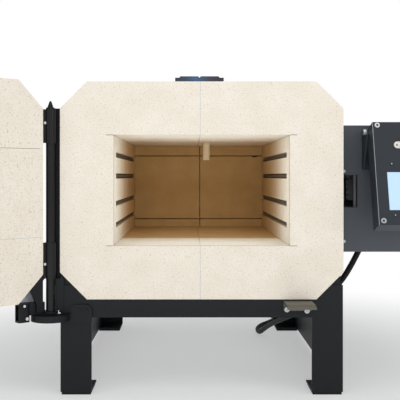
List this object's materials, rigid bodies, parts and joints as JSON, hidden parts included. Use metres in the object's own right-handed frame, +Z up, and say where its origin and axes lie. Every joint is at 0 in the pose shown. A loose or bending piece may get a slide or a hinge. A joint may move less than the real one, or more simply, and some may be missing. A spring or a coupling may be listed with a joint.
{
  "type": "heat treat oven",
  "caption": "Bench-top brick-lined heat treat oven with an octagonal case, a side-hinged door, a tilting control box and a sheet steel stand.",
  "frame": {"origin": "on the floor, at the middle of the four bolt-down holes of the stand", "axes": "+X to the right of someone facing the chamber, +Y to the back of the oven, +Z up"},
  "size_m": [1.0037, 1.0158, 0.4882],
  "materials": {
    "firebrick": "matte, fine-pored insulating firebrick",
    "fired_brick": "matte firebrick, browned by use",
    "stainless": "brushed stainless sheet",
    "black_steel": "satin black powder coat",
    "grey_paint": "textured dark grey powder coat",
    "zinc": "bright zinc plate",
    "oxidised_steel": "heat-dulled bare steel",
    "blued_steel": "blued steel sheet",
    "element_wire": "oxidised resistance wire",
    "ceramic": "unglazed ceramic",
    "rubber": "matte black rubber",
    "black_plastic": "moulded black plastic",
    "screen": "lit touch screen",
    "switch_nickel": "nickel-plated switch",
    "brass": "brass plug blades",
    "aluminium": "extruded aluminium"
  },
  "bodies": {
    "oven": {"stand_side_right": "black_steel", "stand_side_left": "black_steel", "cradle_right": "black_steel", "cradle_left": "black_steel", "front_beam": "black_steel", "rear_beam": "black_steel", "foot_pads": "rubber", "frame_bolts": "black_steel", "case_shell": "stainless", "case_back_panel": "stainless", "rear_terminal_cover": "stainless", "roof_brick_left": "firebrick", "roof_brick_right": "firebrick", "floor_brick_left": "firebrick", "floor_brick_right": "firebrick", "side_brick_left": "firebrick", "side_brick_right": "firebrick", "back_bricks_left": "fired_brick", "back_bricks_right": "fired_brick", "element_left": "element_wire", "element_right": "element_wire", "element_bushings": "ceramic", "thermocouple_tube": "ceramic", "thermocouple_block": "ceramic", "thermocouple_guard": "blued_steel", "guard_post": "zinc", "hinge_rod": "black_steel", "hinge_rail": "black_steel", "hinge_base_bracket": "black_steel", "door_rest": "oxidised_steel", "control_plate": "grey_paint", "latch_keeper": "grey_paint", "control_housing": "grey_paint", "power_relay": "aluminium", "terminal_strip": "black_plastic", "bright_bolts": "zinc", "cord_gland": "black_plastic", "tilt_bracket": "grey_paint", "cord_run": "rubber", "cord_coil": "rubber", "plug": "rubber", "plug_blades": "brass"},
    "door": {"door_bricks_hinge_side": "firebrick", "door_bricks_latch_side": "firebrick", "door_shell": "stainless", "hinge_strap_upper": "black_steel", "hinge_strap_lower": "black_steel", "door_arm": "black_steel", "door_leaf": "zinc", "door_screws": "zinc", "latch_bracket": "black_steel"},
    "latch": {"latch_shaft": "zinc", "latch_lever": "black_steel", "latch_knob": "black_plastic"},
    "display": {"display_housing": "grey_paint", "display_face": "grey_paint", "touch_screen": "screen", "display_screws": "zinc", "switch_plate": "switch_nickel"},
    "toggle": {"toggle_lever": "switch_nickel"}
  },
  "joints": [
    {"name": "door_swing", "type": "hinge", "parent": "oven", "child": "door", "pos_m": [-0.21495, -0.27265, 0.291], "axis": [0, 0, 1], "range_deg": [-35, 140]},
    {"name": "latch_turn", "type": "hinge", "parent": "door", "child": "latch", "pos_m": [-0.56999, -0.52226, 0.28925], "axis": [-0.6428, 0.766, 0], "range_deg": [0, 90]},
    {"name": "display_tilt", "type": "hinge", "parent": "oven", "child": "display", "pos_m": [0.307, -0.24965, 0.37516], "axis": [1, 0, 0], "range_deg": [-12, 16]},
    {"name": "power_toggle", "type": "hinge", "parent": "display", "child": "toggle", "pos_m": [0.2825, -0.28852, 0.35451], "axis": [-1, 0, 0], "range_deg": [0, 24]}
  ]
}
